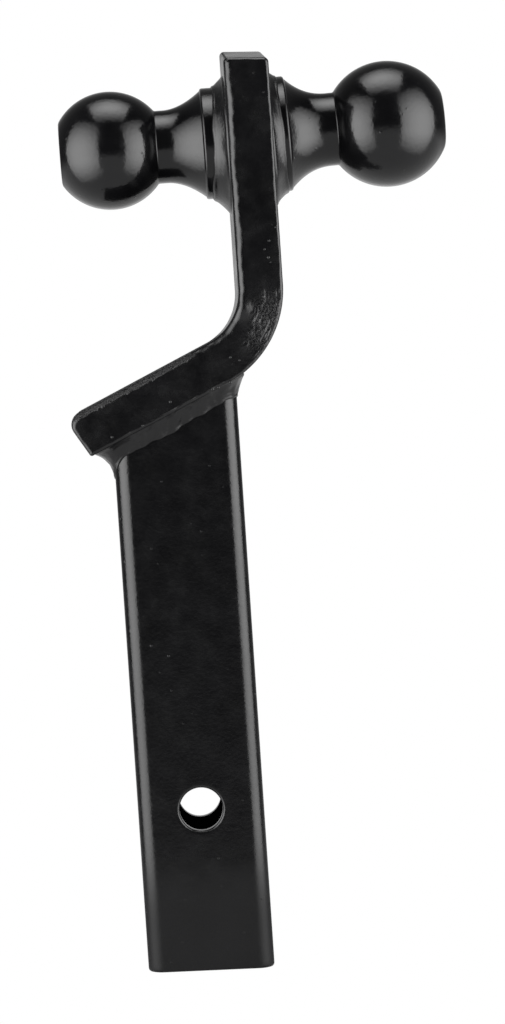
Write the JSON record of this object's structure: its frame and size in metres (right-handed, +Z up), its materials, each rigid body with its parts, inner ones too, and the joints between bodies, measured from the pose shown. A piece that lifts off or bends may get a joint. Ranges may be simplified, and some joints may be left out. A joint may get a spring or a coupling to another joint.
{
  "type": "two-ball hitch mount",
  "caption": "Receiver hitch ball mount: square hollow shank, bent offset plate and a weld-on ball on each face, so it can be turned over to change ball.",
  "frame": {"origin": "middle of the shank's upper flat face, straight above the hitch pin hole's axis", "axes": "+X forward along the shank to its insertion end, +Y left along the pin hole's axis, +Z up through the larger ball"},
  "size_m": [0.3718, 0.0636, 0.1583],
  "materials": {
    "shank_paint": "gloss black paint over square steel tube",
    "plate_paint": "gloss black paint over hot-rolled bar with bend marks",
    "ball_paint": "high gloss black paint over forged steel",
    "weld_paint": "gloss black paint over rippled weld bead"
  },
  "bodies": {
    "root": {"shank_tube": "shank_paint", "offset_plate": "plate_paint", "ball_large": "ball_paint", "ball_small": "ball_paint", "weld_ball_large": "weld_paint", "weld_ball_small": "weld_paint", "weld_shank_upper": "weld_paint", "weld_shank_lower": "weld_paint", "weld_shank_left": "weld_paint", "weld_shank_right": "weld_paint"}
  },
  "joints": []
}
